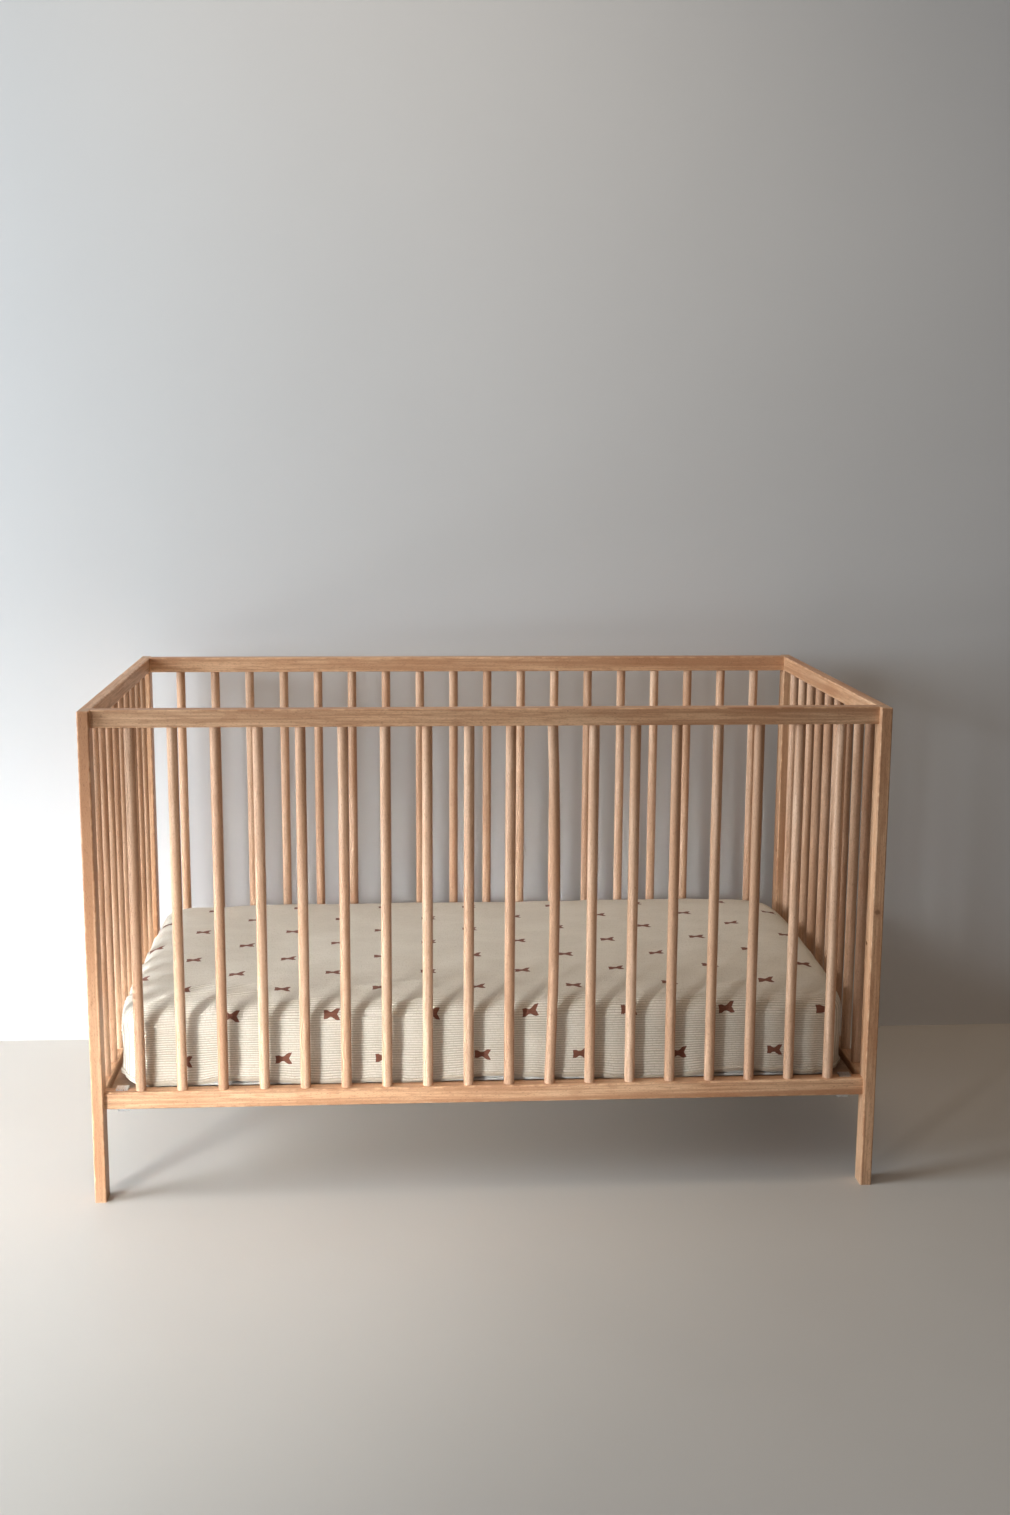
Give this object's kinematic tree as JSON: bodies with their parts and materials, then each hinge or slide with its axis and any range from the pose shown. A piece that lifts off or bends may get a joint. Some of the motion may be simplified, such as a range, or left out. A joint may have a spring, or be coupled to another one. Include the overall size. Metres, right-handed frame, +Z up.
{
  "type": "baby crib",
  "caption": "Slatted baby crib with flat posts, round spindles on all sides, a perforated mattress base hung on steel hooks, and a mattress with a fitted sheet.",
  "frame": {"origin": "on the floor, under the middle of the crib", "axes": "+X along the long sides to the right, +Y from the front side to the back side, +Z up"},
  "size_m": [1.378, 0.77, 0.868],
  "materials": {
    "beech_posts": "oiled satin",
    "beech_rails": "oiled satin",
    "beech_spindles": "oiled satin",
    "beech_dowels": "bare",
    "base_timber": "bare",
    "fibreboard": "smooth face",
    "zinc_steel": "zinc plated",
    "mattress_cover": "knitted",
    "sheet_cotton": "fine ribbed cotton with a printed bow-tie motif"
  },
  "bodies": {
    "frame": {"post_front_left": "beech_posts", "post_front_right": "beech_posts", "post_back_left": "beech_posts", "post_back_right": "beech_posts", "end_top_rail_left": "beech_rails", "end_top_rail_right": "beech_rails", "end_bottom_rail_left": "beech_rails", "end_bottom_rail_right": "beech_rails", "end_spindles_left": "beech_spindles", "end_spindles_right": "beech_spindles", "front_top_rail": "beech_rails", "front_bottom_rail": "beech_rails", "back_top_rail": "beech_rails", "back_bottom_rail": "beech_rails", "front_spindles": "beech_spindles", "back_spindles": "beech_spindles", "side_rail_bolts": "zinc_steel", "side_rail_barrel_nuts": "zinc_steel", "side_rail_dowels": "beech_dowels", "end_rail_dowels": "beech_dowels"},
    "mattress_base": {"base_side_batten_front": "base_timber", "base_side_batten_back": "base_timber", "base_end_batten_left": "base_timber", "base_end_batten_right": "base_timber", "base_cross_slat_left": "base_timber", "base_cross_slat_middle": "base_timber", "base_cross_slat_right": "base_timber", "base_panel": "fibreboard", "base_panel_screws": "zinc_steel", "base_frame_screws": "zinc_steel", "base_hook_front_left": "zinc_steel", "base_hook_front_right": "zinc_steel", "base_hook_back_left": "zinc_steel", "base_hook_back_right": "zinc_steel", "base_hook_screws": "zinc_steel"},
    "mattress": {"mattress": "mattress_cover", "fitted_sheet": "sheet_cotton"}
  },
  "joints": [
    {"name": "base_height", "type": "slide", "parent": "frame", "child": "mattress_base", "axis": [0, 0, 1], "range_m": [0, 0.25]},
    {"name": "mattress_lift", "type": "slide", "parent": "mattress_base", "child": "mattress", "axis": [0, 0, 1], "range_m": [0, 0.72]}
  ]
}
